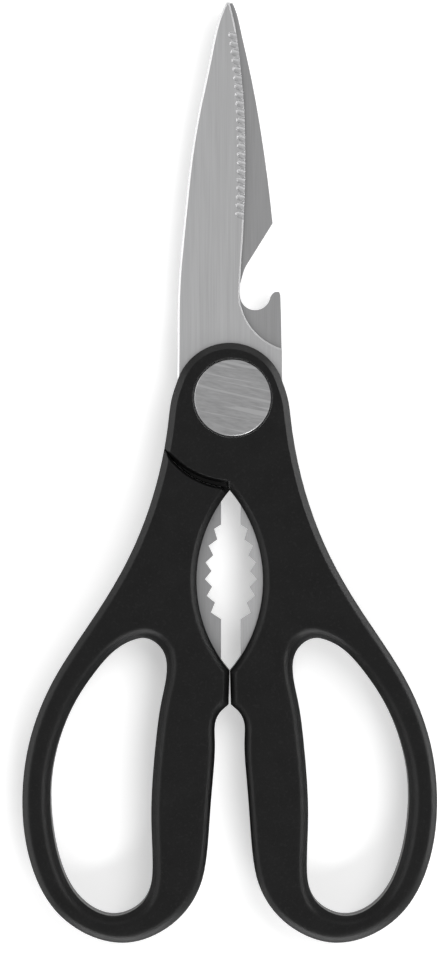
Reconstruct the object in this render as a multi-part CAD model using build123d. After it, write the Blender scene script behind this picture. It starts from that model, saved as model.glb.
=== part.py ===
from build123d import *
import os
from math import asin, cos, degrees, radians, sin, sqrt

# Kitchen shears, closed and lying flat on their back, blades towards +Y and +Z up.
# The pivot axis is the Z axis, and z = 0 is the surface that the shears lie on.
# The right handle and the front blade are one lever, the left handle and the back blade
# the other. Distances called across are measured to the right of the handles' centre line.

# Driving sizes of the handles, in millimetres
handle_reach = 124.5
handle_half_width = 47.4
handle_thickness = 12.0
handle_axis_x = -0.66
edge_bevel = 1.5
lip_width = 1.1
lip_depth = 1.2
lip_bevel = 1.1
lip_rounding = 0.6
finger_rim = 6.4
finger_heel = 6.15
finger_hole_inner = 14.4
grip_gap = 3.4

# Driving sizes of the head, the groove beside it and the gap between the handles
head_wall = 3.45
head_wrap_angle = 20
groove_radius = 19.3
shoulder_radius = 18.1
shoulder_drop = 2.5
shoulder_corner = 2.0
groove_bevel_width = 0.55
groove_bevel_depth = 1.0
almond_tip_lean = 0.8
ledge_gap = 0.10
almond_top = 21.15
almond_length = 41.25
almond_half_width = 7.6
stop_length = 7.6
stop_relief = 0.22
stop_gap = 0.06

# Driving sizes of the blades and their jaws
blade_reach = 90.6
blade_thickness = 2.2
blade_gap = 0.3
spine_width = 12.0
edge_width = 3.58
spine_bevel_width = 0.42
spine_bevel_depth = 0.26
edge_bevel_width = 0.36
edge_bevel_depth = 0.19
heel_width = 11.96
heel_height = 11.3
heel_top = 22.9
serration_count = 22
serration_pitch = 1.95
serration_tip_gap = 7.9
serration_radius = 0.85
serration_run = 1.25
serration_start = 0.50
serration_depth = 0.70
serration_slant = 18
notch_top = 40.0
notch_height = 19.8
jaw_axis_x = -0.40
jaw_land = 2.24
jaw_depth = 5.98
jaw_middle = 40.6
jaw_bow_radius = 26.4
jaw_first_gullet = 29.98
jaw_pitch = 3.84
jaw_tooth_height = 1.53
jaw_gullets = 6
tang_wall = 2.6
tang_leg_wall = 4.0
tang_shelf = 5.5
tang_end = 66.0
tang_corner = 1.6
anchor_radius = 2.2

# Driving sizes of the pivot
cap_radius = 8.9
cap_skin = 0.6
cap_wall = 0.5
cap_grip = 1.2
cap_rim_radius = 0.5
cap_clearance = 0.25
hub_radius = 6.0
hub_height = 1.3
neck_radius = 4.2
neck_flat = 3.5
journal_radius = 3.4
screw_radius = 2.0
screw_length = 7.4
socket_radius = 2.4
socket_depth = 1.0
slot_width = 1.2
slot_depth = 0.8
thrust_washer_radius = 7.6
thrust_washer_thickness = 0.5
spring_washer_radius = 6.8
spring_washer_thickness = 0.45
spring_washer_height = 0.8
blade_washer_radius = 8.0
fit_gap = 0.05
overrun = 1.0

# How far down a handle its finger hole begins
finger_hole_top_share = 0.4414

# Levels that follow from them
middle_z = handle_thickness / 2
front_blade_z = middle_z + blade_gap / 2
front_blade_top = front_blade_z + blade_thickness
back_blade_top = middle_z - blade_gap / 2
back_blade_z = back_blade_top - blade_thickness
head_radius = cap_radius + cap_clearance + head_wall
almond_middle = almond_top + almond_length / 2
almond_bottom = almond_top + almond_length
stop_bottom = almond_bottom + stop_length
finger_hole_top = finger_hole_top_share * handle_reach
finger_hole_width = handle_half_width - finger_rim - finger_hole_inner
finger_hole_length = handle_reach - finger_heel - finger_hole_top
serration_top = blade_reach - serration_tip_gap

# Outlines as shares: how far across and how far down or up
neck_shares = [(1.060, 0.037), (1.110, 0.399), (1.160, 0.762)]
outer_shares = [(0.376, 0.187), (0.493, 0.298), (0.665, 0.408), (0.850, 0.518), (0.964, 0.628),
                (1.000, 0.739), (0.963, 0.849), (0.840, 0.941), (0.725, 0.977), (0.516, 1.000)]
inner_shares = [(0.321, 0.948), (0.211, 0.865)]
grip_shares = [(1.86, 0.737), (1.59, 0.655), (1.35, 0.486), (1.14, 0.319), (1.00, 0.150)]
chin_shares = [(0.91, 0.45), (0.57, 0.20)]
hole_shares = [(0.239, 0.000), (0.445, 0.043), (0.604, 0.115), (0.780, 0.224), (0.925, 0.367),
               (0.994, 0.512), (0.989, 0.656), (0.923, 0.801), (0.739, 0.944), (0.453, 1.000),
               (0.193, 0.944), (0.122, 0.801), (0.133, 0.656), (0.123, 0.512), (0.093, 0.367),
               (0.045, 0.224), (0.000, 0.115), (0.035, 0.043)]
front_spine_shares = [(0.062, 1.000), (0.178, 0.967), (0.370, 0.862), (0.574, 0.735),
                      (0.734, 0.610), (0.881, 0.427), (0.970, 0.296), (0.994, 0.104),
                      (1.000, 0.058)]
back_spine_shares = [(0.054, 1.000), (0.133, 0.954), (0.204, 0.884), (0.343, 0.737),
                     (0.496, 0.558), (0.623, 0.375), (0.728, 0.196), (0.819, 0.003)]
back_root_shares = [(0.986, 0.172), (0.994, 0.104), (1.000, 0.058)]
edge_shares = [(-0.017, 1.000), (0.200, 0.955), (0.425, 0.896), (0.718, 0.769), (0.916, 0.653),
               (0.994, 0.505), (1.000, 0.435), (0.905, 0.277), (0.850, 0.211), (0.723, 0.111),
               (0.640, 0.023)]
ledge_top_share = 0.70
heel_start_share = 0.634
heel_middle_share = (0.291, 0.405)
notch_flank_share = (0.321, 0.525)
notch_bend_shares = [(0.231, 0.376), (0.196, 0.298), (0.194, 0.167)]
notch_floor_share = (0.483, 0.000)
notch_end_share = (0.775, 0.147)
spur_rise_share = (0.815, 0.187)
spur_shares = [(0.871, 0.212), (0.946, 0.213), (0.969, 0.172)]
shoulder_shares = [(0.93, 0.10), (0.55, 0.62), (0.10, 0.86)]
jaw_top_share = 1.06
jaw_flank_share = 0.65
anchor_shares = [0.555, 0.773]
unit_speed = (1, 1)
halvings = 40
on_base = (Align.CENTER, Align.CENTER, Align.MIN)


def across(distance, down, side=1):
    """The point so far across and down from the pivot, for the right side or, with -1, the left."""
    return (handle_axis_x + side * distance, -down)


def heading(start, end):
    """The direction from one point to another, as a vector one unit long."""
    return (Vector(*end) - Vector(*start)).normalized()


def outer_points():
    """The outer side of a handle, from the head to the lower end, as pairs of across and down."""
    neck = [(a * head_radius, b * head_radius) for a, b in neck_shares]
    return neck + [(a * handle_half_width, b * handle_reach) for a, b in outer_shares]


def outer_distance(down):
    """How far across the handle's outer side lies at one height, read off its outline."""
    points = outer_points()
    for (a0, b0), (a1, b1) in zip(points, points[1:]):
        if b0 <= down <= b1:
            return a0 + (a1 - a0) * (down - b0) / (b1 - b0)
    return points[0][0]


def handle_edges(side):
    """A handle's outline below its head: the outer side, the inner side, the stop and the almond."""
    turn = radians(head_wrap_angle)
    wrap_end = (head_radius * cos(turn), -head_radius * sin(turn))
    outer = [wrap_end] + outer_points()
    grip_length = handle_reach - stop_bottom
    heel = [outer[-1]] + [(a * handle_half_width, stop_bottom + b * grip_length)
                          for a, b in inner_shares]
    grip = [(a * grip_gap, stop_bottom + b * grip_length) for a, b in grip_shares]
    chin = [(a * grip_gap, stop_bottom + b * stop_length) for a, b in chin_shares]
    stop_end = across(stop_gap / 2 + stop_relief, stop_bottom, side)
    inner = [across(a, b, side) for a, b in heel + grip + chin] + [stop_end]
    stop_start = across(stop_gap / 2, almond_bottom, side)
    tip = across(stop_gap / 2, almond_top, side)
    return [
        Spline(*[across(a, b, side) for a, b in outer],
               tangents=[(side * sin(turn), -cos(turn)), (-side, 0)], tangent_scalars=unit_speed),
        Spline(*inner, tangents=[(-side, 0), (-side, 1)], tangent_scalars=unit_speed),
        Line(stop_end, stop_start),
        ThreePointArc(stop_start, across(almond_half_width, almond_middle, side), tip),
    ]


def crossing(edge, centre, radius):
    """How far along an edge that leads away from the centre it comes to the radius, as a share."""
    low, high = 0, 1
    for _ in range(halvings):
        middle = (low + high) / 2
        if (edge @ middle - centre).length < radius:
            low = middle
        else:
            high = middle
    return low


def arc_about(centre, radius, start, end):
    """The short arc round a centre from one point to another."""
    return ThreePointArc(start, centre + (start + end - 2 * centre).normalized() * radius, end)


def rounding(edge, centre, radius):
    """The arc that turns left from an edge's end and runs into a circle."""
    start = edge @ 1
    reach = start - centre
    normal = (edge % 1).rotate(Axis.Z, 90)
    bend = (radius ** 2 - reach.dot(reach)) / (2 * (reach.dot(normal) - radius))
    middle = start + normal * bend
    return arc_about(middle, bend, start, centre + (middle - centre).normalized() * radius)


def below(centre, radius, x):
    """The point of a circle that lies straight below x."""
    return Vector(x, centre.Y - sqrt(radius ** 2 - (x - centre.X) ** 2))


def head_plan(pivot_x):
    """The right handle, with the head's left half down to the groove about pivot_x."""
    centre = Vector(pivot_x, 0)
    outer, inner, stop, almond = handle_edges(1)
    left = handle_edges(-1)[0]
    left = left.trim(0, crossing(left, centre, groove_radius))
    corner = below(centre, groove_radius, (almond @ 1).X - almond_tip_lean)
    return make_face([
        ThreePointArc(left @ 0, across(0, -head_radius), outer @ 0),
        outer, inner, stop, almond,
        Line(almond @ 1, corner),
        arc_about(centre, groove_radius, corner, left @ 1),
        left,
    ])


def shoulder_plan(pivot_x):
    """The left handle, which starts below the groove: its arc widens the groove inwards."""
    centre = Vector(pivot_x, -shoulder_drop)
    outer, inner, stop, almond = handle_edges(-1)
    outer = outer.trim(crossing(outer, centre, shoulder_radius), 1)
    almond = almond.trim(0, 1 - shoulder_corner / almond.length)
    corner = rounding(almond, centre, shoulder_radius)
    return make_face([
        outer, inner, stop, almond, corner,
        arc_about(centre, shoulder_radius, corner @ 1, outer @ 0),
    ])


def finger_hole(side, grow):
    """The opening for the fingers, grown all round by a distance."""
    width = finger_hole_width + 2 * grow
    length = finger_hole_length + 2 * grow
    points = [across(finger_hole_inner - grow + a * width, finger_hole_top - grow + b * length, side)
              for a, b in hole_shares]
    return make_face([Spline(*points, periodic=True)])


def almond_flare(top):
    """The cutter that bevels the almond below a level: two flaring cones that overlap in its shape."""
    bow = almond_half_width - stop_gap / 2
    radius = ((almond_length / 2) ** 2 + bow ** 2) / (2 * bow)
    offset = radius - almond_half_width
    cone = Cone(radius - overrun, radius + edge_bevel + overrun, edge_bevel + 2 * overrun,
                align=on_base)
    start_z = top - edge_bevel - overrun
    left = Pos(handle_axis_x - offset, -almond_middle, start_z) * cone
    return left & Pos(handle_axis_x + offset, -almond_middle, start_z) * cone


def beside_almond(edge):
    """Whether an edge belongs to the groove or the almond, which begin with the groove's bevel."""
    place = edge.center()
    return -almond_bottom < place.Y < -head_radius and abs(place.X) < groove_radius


def shell(plan, side, base_z):
    """A handle shell from base_z up to the front face, with bevelled edges and a stepped hole."""
    height = handle_thickness - base_z
    slab = extrude(plan, amount=height)
    rim = slab.faces().sort_by(Axis.Z)[-1].edges()
    slab = chamfer([edge for edge in rim if not beside_almond(edge)], edge_bevel)
    face = slab.faces().sort_by(Axis.Z)[-1]
    slab = chamfer([edge for edge in face.edges() if beside_almond(edge)], groove_bevel_width,
                   groove_bevel_depth, reference=face)
    slab -= almond_flare(height)
    slab -= Pos(0, 0, height - lip_depth) * extrude(finger_hole(side, lip_width), amount=lip_depth)
    face = slab.faces().filter_by(Plane.XY).sort_by(Axis.Z)[-1]
    slab = chamfer(face.inner_wires()[0].edges(), lip_bevel)
    slab -= extrude(finger_hole(side, 0), amount=height)
    ledge = slab.faces().filter_by(Plane.XY).sort_by(Axis.Z)[-2]
    slab = fillet(ledge.inner_wires()[0].edges(), lip_rounding)
    return Pos(0, 0, base_z) * slab


def head_shell(pivot_x):
    """The right front shell, whose head has a low ledge at its foot that floors the groove."""
    ledge_radius = shoulder_radius - ledge_gap
    ledge_top = ledge_top_share * groove_radius
    ledge = Pos(pivot_x, -shoulder_drop) * Circle(ledge_radius)
    ledge -= Pos(pivot_x, 0) * Circle(groove_radius - head_wall)
    ledge &= Pos(pivot_x, -ledge_top) * Rectangle(ledge_radius, ledge_radius,
                                                  align=(Align.MAX, Align.MAX))
    foot = Pos(0, 0, front_blade_z) * extrude(ledge, amount=blade_thickness)
    return shell(head_plan(pivot_x), 1, front_blade_z) + foot


def turned_over(shape):
    """The shape turned half way round the handles' centre line, front to back."""
    centre = Pos(handle_axis_x, 0, middle_z)
    return centre * Rot(0, 180, 0) * Pos(-handle_axis_x, 0, -middle_z) * shape


def jaw_bow(down):
    """How far from the jaw's axis the gullets lie at one height."""
    return jaw_depth - (down - jaw_middle) ** 2 / (2 * jaw_bow_radius)


def jaw_points():
    """The toothed jaw as pairs of distance from the jaw's axis and height below the pivot."""
    first = jaw_first_gullet
    last = jaw_first_gullet + (jaw_gullets - 1) * jaw_pitch
    points = [(jaw_land, first - jaw_flank_share * (jaw_bow(first) - jaw_land))]
    for k in range(jaw_gullets):
        gullet = jaw_first_gullet + k * jaw_pitch
        points.append((jaw_bow(gullet), gullet))
        if k < jaw_gullets - 1:
            foot = gullet + jaw_pitch / 2
            slope = (jaw_middle - foot) / jaw_bow_radius
            lean = sqrt(1 + slope ** 2)
            points.append((jaw_bow(foot) - jaw_tooth_height / lean,
                           foot + jaw_tooth_height * slope / lean))
    points.append((jaw_land, last + jaw_flank_share * (jaw_bow(last) - jaw_land)))
    return points


def edge_points():
    """The cutting edge from the tip to the heel, as pairs of across and down."""
    length = blade_reach - heel_top
    return [(a * edge_width, -heel_top - b * length) for a, b in edge_shares]


def front_spine():
    """The front blade's spine, from the tip to where the head covers it."""
    return [Spline(*[across(a * spine_width, -b * blade_reach, -1) for a, b in front_spine_shares])]


def back_spine():
    """The back blade's spine, with the bottle-opener notch and the spur below it."""
    def at(share):
        return across(share[0] * spine_width, -(notch_top - notch_height * (1 - share[1])))
    length = blade_reach - notch_top
    upper = [across(a * spine_width, -notch_top - b * length) for a, b in back_spine_shares]
    root = [across(a * spine_width, -b * blade_reach) for a, b in back_root_shares]
    bend = [at(share) for share in [notch_flank_share] + notch_bend_shares]
    spur = [at(share) for share in spur_shares]
    return [
        Spline(*upper),
        Line(upper[-1], bend[0]),
        Spline(*bend, tangents=[heading(upper[-1], bend[0]), (0, -1)],
               tangent_scalars=unit_speed),
        ThreePointArc(bend[-1], at(notch_floor_share), at(notch_end_share)),
        ThreePointArc(at(notch_end_share), at(spur_rise_share), spur[0]),
        Polyline(*spur),
        Spline(spur[-1], *root),
    ]


def blade_plan(side, spine):
    """A blade with its tang, seen from the front: side is where its edge and handle lie."""
    def at(distance, down):
        return across(distance, down, side)
    jaw_shift = side * (jaw_axis_x - handle_axis_x)
    jaw = [(a + jaw_shift, b) for a, b in jaw_points()]
    land = jaw_land + jaw_shift
    root_end = (-spine_width, -back_root_shares[-1][1] * blade_reach)
    shoulder = [root_end] + [(-a * spine_width, b * groove_radius) for a, b in shoulder_shares]
    shoulder.append((land, jaw_top_share * groove_radius))
    bend_down = outer_shares[1][1] * handle_reach
    waist_down = outer_shares[0][1] * handle_reach
    neck_down = neck_shares[-1][1] * head_radius
    tang_side = outer_distance(bend_down) - tang_wall
    leg_side = finger_hole_inner - tang_leg_wall
    shelf = finger_hole_top - tang_shelf
    leg = [jaw[-1], (land, tang_end), (leg_side, tang_end), (leg_side, shelf), (tang_side, shelf),
           (tang_side, bend_down)]
    waist = (outer_distance(waist_down) - tang_wall, waist_down)
    heel_start = (heel_start_share * edge_width, -heel_top)
    across_share, up_share = heel_middle_share
    heel_middle = (heel_start[0] + across_share * (heel_width - heel_start[0]),
                   -(heel_height + up_share * (heel_top - heel_height)))
    edge = [at(*point) for point in edge_points() + [heel_start]]
    heel = ThreePointArc(at(heel_width, -heel_height), at(*heel_middle), edge[-1])
    return make_face(spine + [
        Spline(*[at(*point) for point in shoulder],
               tangents=[heading(at(*shoulder[0]), at(*shoulder[1])), (0, -1)],
               tangent_scalars=unit_speed),
        Polyline(at(*shoulder[-1]), *[at(*point) for point in jaw]),
        FilletPolyline(*[at(*point) for point in leg], radius=tang_corner),
        Spline(at(*leg[-1]), at(*waist), at(heel_width, neck_down)),
        Line(at(heel_width, neck_down), at(heel_width, -heel_height)),
        heel,
        Spline(*edge, tangents=[heading(edge[0], edge[1]), -(heel % 1)],
               tangent_scalars=unit_speed),
        Line(edge[0], spine[0] @ 0),
    ])


def anchor_places(side):
    """The centres of a tang's two anchor holes, midway between its jaw and its outer side."""
    places = []
    for share in anchor_shares:
        down = share * finger_hole_top
        places.append(across((jaw_depth + outer_distance(down) - tang_wall) / 2, down, side))
    return places


def seated_blade(plan, side, base_z, hole):
    """A blade stamped from its plan, with the hole for its pivot and its two anchor holes."""
    blade = Pos(0, 0, base_z) * extrude(plan, amount=blade_thickness)
    anchors = [Pos(*place) * Cylinder(anchor_radius, handle_thickness, align=on_base)
               for place in anchor_places(side)]
    return blade - [hole] - anchors


def ground(blade, side):
    """The blade with its spine and its cutting edge bevelled on the face turned outwards."""
    outward = -1 if side > 0 else 0

    def bevelled(shape, low, width, depth, chosen):
        face = shape.faces().filter_by(Plane.XY).sort_by(Axis.Z)[outward]
        edges = [edge for edge in face.outer_wire().edges()
                 if edge.center().Y > low and chosen(edge)]
        return chamfer(edges, width, depth, reference=face)
    blade = bevelled(blade, notch_top, spine_bevel_width, spine_bevel_depth,
                     lambda edge: side * (edge.center().X - handle_axis_x) < -edge_width)
    return bevelled(blade, head_radius, edge_bevel_width, edge_bevel_depth,
                    lambda edge: side * (edge.center().X - handle_axis_x) > 0)


def serrations():
    """The round-ended cutters that grind the fine slanting teeth into the front blade's edge."""
    tilt = degrees(asin((serration_depth - serration_start) / serration_run))
    outline = edge_points()
    cutters = []
    for k in range(serration_count):
        down = -(serration_top - k * serration_pitch)
        for (a0, b0), (a1, b1) in zip(outline, outline[1:]):
            if b0 <= down <= b1:
                distance = a0 + (a1 - a0) * (down - b0) / (b1 - b0)
        x, y = across(distance, down)
        z = front_blade_top + serration_radius - serration_depth
        cutter = Rot(0, 90, 0) * Cylinder(serration_radius, serration_run + overrun, align=on_base)
        cutter += Sphere(serration_radius)
        cutters.append(Pos(x, y, z) * Rot(0, 0, -serration_slant) * Rot(0, tilt, 0)
                       * Pos(-serration_run, 0, 0) * cutter)
    return cutters


def double_d(gap):
    """The section of the barrel's neck, or with a gap that of the hole it fits."""
    flats = Rectangle(2 * (neck_radius + gap), 2 * (neck_flat + gap))
    return Circle(neck_radius + gap) & flats


def front_blade():
    """The wide blade of the right handle, with fine teeth along its edge."""
    hole = Pos(0, 0, front_blade_z) * Cylinder(journal_radius + fit_gap, blade_thickness,
                                               align=on_base)
    blade = seated_blade(blade_plan(1, front_spine()), 1, front_blade_z, hole)
    return ground(blade, 1) - serrations()


def back_blade():
    """The blade of the left handle, with the bottle opener in its spine."""
    hole = Pos(0, 0, back_blade_z) * extrude(double_d(fit_gap), amount=blade_thickness)
    return ground(seated_blade(blade_plan(-1, back_spine()), -1, back_blade_z, hole), -1)


def head_with_seat(handle, side, plan, base_z, well_z):
    """A shell with its head: the well for the pivot, the seat for the blade, and the anchor posts."""
    well = Pos(0, 0, well_z) * Cylinder(cap_radius + cap_clearance, handle_thickness, align=on_base)
    seat = Pos(0, 0, base_z) * extrude(plan, amount=blade_thickness)
    posts = [Pos(x, y, base_z) * Cylinder(anchor_radius - fit_gap, blade_thickness, align=on_base)
             for x, y in anchor_places(side)]
    return handle - well - seat + posts


def pivot_barrel():
    """The barrel: flange and hub behind the back blade, neck through it, journal in front."""
    flange_height = back_blade_z - cap_skin - hub_height
    flange = Cylinder(cap_radius - cap_wall - fit_gap, flange_height, align=on_base)
    hub = Pos(0, 0, flange_height) * Cylinder(hub_radius, hub_height, align=on_base)
    neck_base = flange_height + hub_height
    neck = Pos(0, 0, neck_base) * extrude(double_d(0), amount=blade_thickness)
    journal_base = neck_base + blade_thickness
    journal_height = screw_flange_z() - cap_skin - journal_base
    journal = Pos(0, 0, journal_base) * Cylinder(journal_radius, journal_height, align=on_base)
    barrel = flange + hub + neck + journal
    bore_height = screw_length + fit_gap
    bore = Pos(0, 0, journal_base + journal_height - bore_height) * Cylinder(
        screw_radius + fit_gap, bore_height, align=on_base)
    slot = Box(2 * cap_radius, slot_width, 2 * slot_depth)
    return Pos(0, 0, cap_skin) * (barrel - bore - slot)


def thrust_z():
    """The underside of the thrust washer."""
    return front_blade_top + fit_gap


def spring_z():
    """The underside of the spring washer."""
    return thrust_z() + thrust_washer_thickness + fit_gap


def screw_flange_z():
    """The underside of the screw's flange, where it meets the barrel's end."""
    return spring_z() + spring_washer_height + fit_gap


def pivot_screw():
    """The screw: a wide flange that the front cap grips, and a shank down into the barrel."""
    flange_z = screw_flange_z()
    flange_height = handle_thickness - cap_skin - flange_z
    flange = Pos(0, 0, flange_z) * Cylinder(cap_radius - cap_wall - fit_gap, flange_height,
                                            align=on_base)
    shank = Pos(0, 0, flange_z - screw_length) * Cylinder(screw_radius, screw_length, align=on_base)
    socket = Pos(0, 0, handle_thickness - cap_skin - socket_depth) * extrude(
        RegularPolygon(socket_radius, 6), amount=socket_depth)
    return flange + shank - socket


def washer(radius, thickness, base_z):
    """A flat washer around the journal."""
    disc = Cylinder(radius, thickness, align=on_base)
    hole = Cylinder(journal_radius + fit_gap, thickness, align=on_base)
    return Pos(0, 0, base_z) * (disc - hole)


def spring_washer():
    """The conical spring washer: a thin ring that rises towards the journal."""
    inner = journal_radius + 2 * fit_gap
    rise = spring_washer_height - spring_washer_thickness
    section = Polyline((inner, 0, rise), (spring_washer_radius, 0, 0),
                       (spring_washer_radius, 0, spring_washer_thickness),
                       (inner, 0, spring_washer_height), close=True)
    return Pos(0, 0, spring_z()) * revolve(make_face(section), axis=Axis.Z)


def pivot_cap():
    """The front cap: a drawn steel cup pressed over the screw's flange."""
    height = cap_skin + cap_grip
    cup = Cylinder(cap_radius, height, align=on_base)
    rim = cup.faces().sort_by(Axis.Z)[-1].edges()
    cup = fillet(rim, cap_rim_radius)
    hollow = Cylinder(cap_radius - cap_wall, cap_grip, align=on_base)
    return Pos(0, 0, handle_thickness - height) * (cup - hollow)


os.makedirs("parts", exist_ok=True)
front_plan = blade_plan(1, front_spine())
back_plan = blade_plan(-1, back_spine())
pivot_behind = 2 * handle_axis_x
cap = pivot_cap()
nodes = {
    "front_blade": front_blade(),
    "back_blade": back_blade(),
    "right_handle_front_shell": head_with_seat(head_shell(0), 1, front_plan, front_blade_z,
                                               front_blade_top),
    "right_handle_back_shell": turned_over(shell(shoulder_plan(pivot_behind), -1, back_blade_top)),
    "left_handle_back_shell": head_with_seat(turned_over(head_shell(pivot_behind)), -1, back_plan,
                                             back_blade_z, back_blade_z - handle_thickness),
    "left_handle_front_shell": shell(shoulder_plan(0), -1, back_blade_top),
    "front_pivot_cap": cap,
    "back_pivot_cap": mirror(cap, about=Plane.XY.offset(middle_z)),
    "pivot_barrel": pivot_barrel(),
    "pivot_screw": pivot_screw(),
    "spring_washer": spring_washer(),
    "thrust_washer": washer(thrust_washer_radius, thrust_washer_thickness, thrust_z()),
    "blade_washer": washer(blade_washer_radius, blade_gap - fit_gap, back_blade_top),
}
for name, shape in nodes.items():
    export_step(shape, f"parts/{name}.step")
    print(name, round(shape.volume, 1), shape.is_valid, len(shape.solids()))
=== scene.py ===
from math import radians

import bpy
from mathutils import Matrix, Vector

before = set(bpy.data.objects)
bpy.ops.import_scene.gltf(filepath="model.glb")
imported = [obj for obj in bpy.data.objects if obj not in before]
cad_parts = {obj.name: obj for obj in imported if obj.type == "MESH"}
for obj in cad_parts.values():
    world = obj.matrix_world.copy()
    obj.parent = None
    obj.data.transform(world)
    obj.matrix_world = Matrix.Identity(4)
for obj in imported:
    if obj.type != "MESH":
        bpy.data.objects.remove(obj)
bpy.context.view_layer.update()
bpy.context.scene.view_settings.view_transform = "Standard"


# Camera: straight above the shears, a metre and a quarter away. The photograph's frame is
# 219.6 mm from top to bottom, at a level between the faces of the blades and of the handles.
MM = 0.001
VIEW_HEIGHT = 219.6 * MM
VIEW_CENTRE = (-3.0 * MM, -18.75 * MM)
VIEW_LEVEL = 9 * MM
DISTANCE = 1.25
SENSOR_HEIGHT = 36.0
NEAREST = 0.01
camera = bpy.data.objects.new("camera", bpy.data.cameras.new("camera"))
bpy.context.scene.collection.objects.link(camera)
camera.data.sensor_fit = "VERTICAL"
camera.data.sensor_height = SENSOR_HEIGHT
camera.data.lens = SENSOR_HEIGHT * DISTANCE / VIEW_HEIGHT
camera.data.clip_start = NEAREST
camera.location = (*VIEW_CENTRE, VIEW_LEVEL + DISTANCE)
bpy.context.scene.camera = camera


# Floor: a white sheet that the shears lie on, wide enough to reach past every view. Seen
# straight or mirrored it is a little brighter than the light makes it, and wholly white away
# from the shears, so that it is white but keeps their shadow.
FLOOR_SIZE = 6.0
FLOOR_DROP = 0.2 * MM
SHEET_GREY = (0.8, 0.8, 0.8, 1)
SHEET_ROUGHNESS = 0.9
SHEET_GLOSS = 0.1
WHITE = (1, 1, 1, 1)
GLOW_DISTANCES = (0.2, 0.7)
GLOW = (0.455, 0.95)


def shader(name):
    """A new node material, with its node tree and its Principled shader."""
    material = bpy.data.materials.new(name)
    material.use_nodes = True
    tree = material.node_tree
    return material, tree, tree.nodes["Principled BSDF"]


def combined(tree, operation, first, second):
    """Two values put together, by MULTIPLY, ADD or MAXIMUM."""
    node = tree.nodes.new("ShaderNodeMath")
    node.operation = operation
    tree.links.new(first, node.inputs[0])
    tree.links.new(second, node.inputs[1])
    return node.outputs[0]


def seen_rays(tree):
    """A value that is 1 for what is seen straight, mirrored or through glass, or else 0."""
    path = tree.nodes.new("ShaderNodeLightPath").outputs
    seen = combined(tree, "MAXIMUM", path["Is Camera Ray"], path["Is Glossy Ray"])
    return combined(tree, "MAXIMUM", seen, path["Is Transmission Ray"])


def mapped(tree, value, start, end, low, high):
    """A value that goes from low to high while the given one goes from start to end."""
    node = tree.nodes.new("ShaderNodeMapRange")
    node.inputs["From Min"].default_value = start
    node.inputs["From Max"].default_value = end
    node.inputs["To Min"].default_value = low
    node.inputs["To Max"].default_value = high
    tree.links.new(value, node.inputs["Value"])
    return node.outputs["Result"]


def own_place(tree):
    """A point's place in its piece's own frame, in metres."""
    return tree.nodes.new("ShaderNodeTexCoord").outputs["Object"]


bpy.ops.mesh.primitive_plane_add(size=FLOOR_SIZE, location=(0, 0, -FLOOR_DROP))
floor = bpy.context.object
floor.name = "floor"
material, tree, bsdf = shader("white_sheet")
bsdf.inputs["Base Color"].default_value = SHEET_GREY
bsdf.inputs["Roughness"].default_value = SHEET_ROUGHNESS
bsdf.inputs["Specular IOR Level"].default_value = SHEET_GLOSS
bsdf.inputs["Emission Color"].default_value = WHITE
reach = tree.nodes.new("ShaderNodeVectorMath")
reach.operation = "LENGTH"
tree.links.new(own_place(tree), reach.inputs[0])
glow = mapped(tree, reach.outputs["Value"], *GLOW_DISTANCES, *GLOW)
tree.links.new(combined(tree, "MULTIPLY", glow, seen_rays(tree)),
               bsdf.inputs["Emission Strength"])
floor.data.materials.append(material)


# Light: an even dim room that is white where it is seen or mirrored, and a broad lamp high at
# the upper right that casts the short soft shadow. Low pale panels all round draw the bevels
# of the handles, and two higher ones the spine of the blade and the rim of the cap.
ROOM_GREY = (0.20, 0.20, 0.20, 1)
LOW = 0.06
LOW_PANEL = (1.2, 0.12)
world = bpy.data.worlds.new("room")
bpy.context.scene.world = world
world.use_nodes = True
tree = world.node_tree
lighting = tree.nodes["Background"]
lighting.inputs["Color"].default_value = ROOM_GREY
seen = tree.nodes.new("ShaderNodeBackground")
seen.inputs["Color"].default_value = WHITE
mix = tree.nodes.new("ShaderNodeMixShader")
tree.links.new(seen_rays(tree), mix.inputs["Fac"])
tree.links.new(lighting.outputs["Background"], mix.inputs[1])
tree.links.new(seen.outputs["Background"], mix.inputs[2])
tree.links.new(mix.outputs["Shader"], tree.nodes["World Output"].inputs["Surface"])


def panel_light(name, place, size, power, mirrored=True):
    """A rectangular area lamp of so many metres and watts that looks at the pivot."""
    data = bpy.data.lights.new(name, "AREA")
    data.shape = "RECTANGLE"
    data.size, data.size_y = size
    data.energy = power
    made = bpy.data.objects.new(name, data)
    made.location = place
    made.rotation_euler = (-Vector(place)).to_track_quat("-Z", "Y").to_euler()
    made.visible_camera = False
    made.visible_glossy = mirrored
    bpy.context.scene.collection.objects.link(made)


panel_light("key", (0.38, 0.36, 0.92), (0.75, 0.75), 6.4, mirrored=False)
panel_light("left_panel", (-0.9, -0.1, LOW), LOW_PANEL, 3.6)
panel_light("right_panel", (0.9, 0.1, LOW), LOW_PANEL, 7.5)
panel_light("near_panel", (0.0, -0.9, LOW), LOW_PANEL, 9.0)
panel_light("near_high_panel", (0.22, -0.62, 0.50), (0.45, 0.12), 2.6)
panel_light("far_panel", (0.0, 0.9, LOW), LOW_PANEL, 2.0)
panel_light("left_high_panel", (-0.85, 0.1, 0.42), (1.0, 0.2), 2.5)


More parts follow.
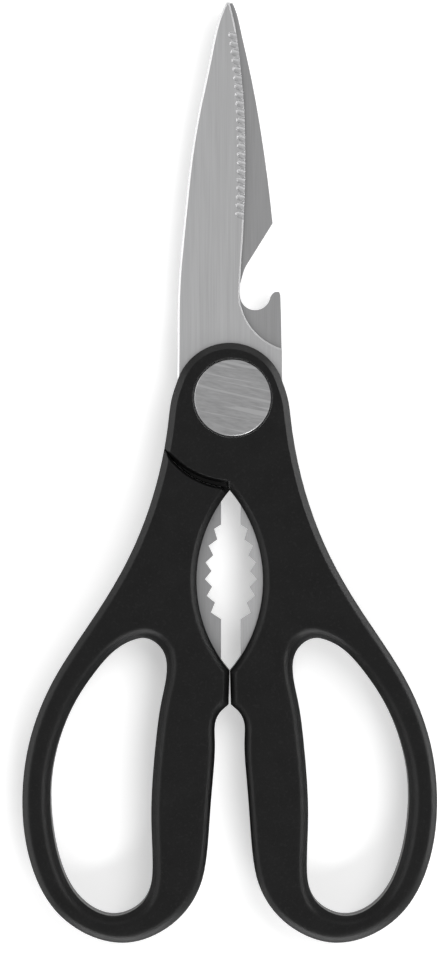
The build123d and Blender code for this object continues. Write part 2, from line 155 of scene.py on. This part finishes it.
# Front blade: flat stamped steel with a bevelled spine and a finely toothed edge. It is
# brushed lengthwise, so that faint streaks run from the tip to the pivot, and its facets are
# ground dull, apart from the polished bevel of the spine, which faces left.
FRONT_GREYS = (0.34, 0.42)
FINE_BRUSHING = (7000, 70)
BROAD_BRUSHING = (1100, 25)
FINE_SHARE, BROAD_SHARE = 0.6, 0.4
BRUSHING_DEPTH = 0.003 * MM
BRUSHED_ROUGHNESS = (0.33, 0.42)
GROUND_ROUGHNESS = 0.22
GROUND_LEAN = (0.94, 0.995)
FACING_LEFT = (-0.35, -0.15)
CUT_AND_SHADE_LEAN = (0.02, 0.15)
# The cut walls' dark grey is partly the duller sheared steel and partly painted shade: the back
# blade mirrors it as a dark band beside the front blade's edge.
CUT_GREY_AND_SHADE = (0.12, 0.12, 0.12, 1)
NOISE_MIDDLE = (0.3, 0.7)
BLUE_TRACE = 1.01
ROUNDING_SAMPLES = 8
MIX_FACTOR, MIX_FIRST, MIX_SECOND = 0, 6, 7
MIX_COLOUR = 2


def streaks(tree, across, along, angle=0.0, detail=3.0, bend=0.0):
    """Noise drawn out into streaks, with so many cells per metre along X and Y.

    The streaks are turned anticlockwise by an angle in degrees and may be bent a little.
    """
    turn = tree.nodes.new("ShaderNodeMapping")
    turn.vector_type = "TEXTURE"
    turn.inputs["Rotation"].default_value = (0, 0, radians(angle))
    turn.inputs["Scale"].default_value = (1 / across, 1 / along, 1 / across)
    noise = tree.nodes.new("ShaderNodeTexNoise")
    noise.inputs["Scale"].default_value = 1.0
    noise.inputs["Detail"].default_value = detail
    noise.inputs["Distortion"].default_value = bend
    tree.links.new(own_place(tree), turn.inputs["Vector"])
    tree.links.new(turn.outputs["Vector"], noise.inputs["Vector"])
    return noise.outputs["Fac"]


def ranged(tree, value, low, high):
    """A noise value's middle range stretched from low to high."""
    return mapped(tree, value, *NOISE_MIDDLE, low, high)


def mixed(tree, factor, first, second):
    """A colour that goes from the first to the second while the factor goes from 0 to 1.

    Each of the two is a colour or another node's output.
    """
    node = tree.nodes.new("ShaderNodeMix")
    node.data_type = "RGBA"
    for socket, colour in ((MIX_FIRST, first), (MIX_SECOND, second)):
        if isinstance(colour, bpy.types.NodeSocket):
            tree.links.new(colour, node.inputs[socket])
        else:
            node.inputs[socket].default_value = colour
    tree.links.new(factor, node.inputs[MIX_FACTOR])
    return node.outputs[MIX_COLOUR]


def between(tree, value, dark, light):
    """A grey between two levels, a trace bluer than neutral, by a value of 0 to 1."""
    return mixed(tree, value, *((level, level, level * BLUE_TRACE, 1) for level in (dark, light)))


def raised(tree, bsdf, value, depth, edge_rounding=None):
    """Raises the surface by a value times a depth in metres, over edges rounded in the light."""
    node = tree.nodes.new("ShaderNodeBump")
    node.inputs["Distance"].default_value = depth
    tree.links.new(value, node.inputs["Height"])
    if edge_rounding:
        soft = tree.nodes.new("ShaderNodeBevel")
        soft.samples = ROUNDING_SAMPLES
        tree.links.new(edge_rounding, soft.inputs["Radius"])
        tree.links.new(soft.outputs["Normal"], node.inputs["Normal"])
    tree.links.new(node.outputs["Normal"], bsdf.inputs["Normal"])


def finished(material, *names):
    """Gives a material to the named pieces of the part."""
    for name in names:
        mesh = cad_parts[name].data
        mesh.materials.clear()
        mesh.materials.append(material)


def component(tree, vector, axis):
    """A vector's component along an axis of the shears."""
    node = tree.nodes.new("ShaderNodeSeparateXYZ")
    tree.links.new(vector, node.inputs[0])
    return node.outputs[axis]


def facet_normal(tree, axis):
    """How far a facet faces along an axis of the shears, from -1 to 1."""
    normal = tree.nodes.new("ShaderNodeNewGeometry").outputs["True Normal"]
    return component(tree, normal, axis)


def steepness(tree, low, high):
    """How far a facet leans from the flat faces, by the cosine of the angle between them.

    It is 0 where the cosine is high or more and 1 where it is low or less.
    """
    upright = tree.nodes.new("ShaderNodeMath")
    upright.operation = "ABSOLUTE"
    tree.links.new(facet_normal(tree, "Z"), upright.inputs[0])
    return mapped(tree, upright.outputs[0], low, high, 1.0, 0.0)


def brushed_steel(name, dark, light):
    """Steel brushed along the blade between two greys, dull where ground, and dark grey on the
    cut walls, partly duller sheared steel and partly painted shade.

    Its grey is fine plus broad streaks. Its roughness is that of the fine streaks, plus the
    facets' lean times how far they face away from the left.
    """
    material, tree, bsdf = shader(name)
    fine = streaks(tree, *FINE_BRUSHING)
    broad = streaks(tree, *BROAD_BRUSHING, detail=4.0)
    both = combined(tree, "ADD", ranged(tree, fine, 0.0, FINE_SHARE),
                    ranged(tree, broad, 0.0, BROAD_SHARE))
    brushed = between(tree, both, dark, light)
    tree.links.new(mixed(tree, steepness(tree, *CUT_AND_SHADE_LEAN), brushed, CUT_GREY_AND_SHADE),
                   bsdf.inputs["Base Color"])
    away = mapped(tree, facet_normal(tree, "X"), *FACING_LEFT, 0.0, GROUND_ROUGHNESS)
    ground = combined(tree, "MULTIPLY", steepness(tree, *GROUND_LEAN), away)
    tree.links.new(combined(tree, "ADD", ranged(tree, fine, *BRUSHED_ROUGHNESS), ground),
                   bsdf.inputs["Roughness"])
    bsdf.inputs["Metallic"].default_value = 1.0
    raised(tree, bsdf, fine, BRUSHING_DEPTH)
    return material


finished(brushed_steel("front_blade_steel", *FRONT_GREYS), "front_blade")


# Back blade: the front blade's twin, with the bottle opener cut into its spine. It is stamped and
# brushed in the same way; its greys are painted darker, as shade for lying a little deeper, under
# the front blade.
# Painted shade: the same steel as the front blade, given darker greys.
BACK_SHADED_GREYS = (0.25, 0.31)
finished(brushed_steel("back_blade_shaded_steel", *BACK_SHADED_GREYS), "back_blade")


# Pivot caps: drawn steel cups over the two ends of the pivot, rubbed with a coarse cloth so
# that short marks and a few long scratches run a little down to the right across the face.
RUBBED_GREYS = (0.23, 0.34)
RUBBED_ROUGHNESS = (0.28, 0.40)
MARK_SHARE, SMEAR_SHARE, SCRATCH_SHARE = 0.45, 0.4, 0.8
SCRATCH_NOISE = (0.66, 0.74)
MARK_DEPTH = 0.008 * MM
material, tree, bsdf = shader("cap_steel")
marks = streaks(tree, 450, 2600, angle=-9, detail=5.0, bend=0.6)
smears = streaks(tree, 150, 900, angle=-16, detail=3.0, bend=0.4)
scratches = streaks(tree, 60, 1500, angle=-12, detail=0.0)
both = combined(tree, "ADD", ranged(tree, marks, 0.0, MARK_SHARE),
                ranged(tree, smears, 0.0, SMEAR_SHARE))
both = combined(tree, "ADD", both, mapped(tree, scratches, *SCRATCH_NOISE, 0.0, SCRATCH_SHARE))
tree.links.new(between(tree, both, *RUBBED_GREYS), bsdf.inputs["Base Color"])
tree.links.new(ranged(tree, marks, *RUBBED_ROUGHNESS), bsdf.inputs["Roughness"])
bsdf.inputs["Metallic"].default_value = 1.0
raised(tree, bsdf, marks, MARK_DEPTH)
finished(material, "front_pivot_cap", "back_pivot_cap")


# Pivot pieces inside: the barrel that the blades turn on, the screw that closes it and the
# conical spring washer that presses the blades together. All three are turned steel.
TURNED_GREYS = (0.40, 0.52)
TURNED_ROUGHNESS = (0.25, 0.4)
material, tree, bsdf = shader("turned_steel")
grain = streaks(tree, 900, 900)
tree.links.new(between(tree, grain, *TURNED_GREYS), bsdf.inputs["Base Color"])
tree.links.new(ranged(tree, grain, *TURNED_ROUGHNESS), bsdf.inputs["Roughness"])
bsdf.inputs["Metallic"].default_value = 1.0
finished(material, "pivot_barrel", "pivot_screw", "spring_washer")


# Washers inside: thin rings of milky moulded plastic that lie loose on the pivot, one between
# the blades and one on the front blade, and keep steel from rubbing on steel.
MILKY_GREYS = (0.72, 0.82)
MILKY_ROUGHNESS = 0.4
material, tree, bsdf = shader("washer_plastic")
tree.links.new(between(tree, streaks(tree, 1500, 1500), *MILKY_GREYS),
               bsdf.inputs["Base Color"])
bsdf.inputs["Roughness"].default_value = MILKY_ROUGHNESS
finished(material, "thrust_washer", "blade_washer")


# Handles: four black moulded shells with a fine matt grain, two round each blade's tang.
# Their edges are crisp at the head and worn rounder towards the finger loops.
MOULDED_GREYS = (0.0025, 0.0075)
MOULDED_ROUGHNESS = (0.31, 0.43)
MOULDED_GLOSS = 0.14
CLOUD_SHARE, GRAIN_SHARE, SPECK_SHARE = 0.35, 0.35, 1.0
SPECK_NOISE = (0.58, 0.72)
GRAIN_DEPTH = 0.02 * MM
WORN_Y, CRISP_Y = -70 * MM, -25 * MM
WORN_RADIUS, CRISP_RADIUS = 1.7 * MM, 0.4 * MM
material, tree, bsdf = shader("handle_plastic")
grain = streaks(tree, 2400, 2400, detail=5.0)
cloud = streaks(tree, 160, 160, detail=2.0)
specks = streaks(tree, 1700, 1700, detail=2.0)
both = combined(tree, "ADD", ranged(tree, cloud, 0.0, CLOUD_SHARE),
                ranged(tree, grain, 0.0, GRAIN_SHARE))
both = combined(tree, "ADD", both, mapped(tree, specks, *SPECK_NOISE, 0.0, SPECK_SHARE))
tree.links.new(between(tree, both, *MOULDED_GREYS), bsdf.inputs["Base Color"])
tree.links.new(ranged(tree, grain, *MOULDED_ROUGHNESS), bsdf.inputs["Roughness"])
bsdf.inputs["Specular IOR Level"].default_value = MOULDED_GLOSS
rounding = mapped(tree, component(tree, own_place(tree), "Y"),
                  WORN_Y, CRISP_Y, WORN_RADIUS, CRISP_RADIUS)
raised(tree, bsdf, grain, GRAIN_DEPTH, edge_rounding=rounding)
finished(material, "right_handle_front_shell", "right_handle_back_shell",
         "left_handle_back_shell", "left_handle_front_shell")
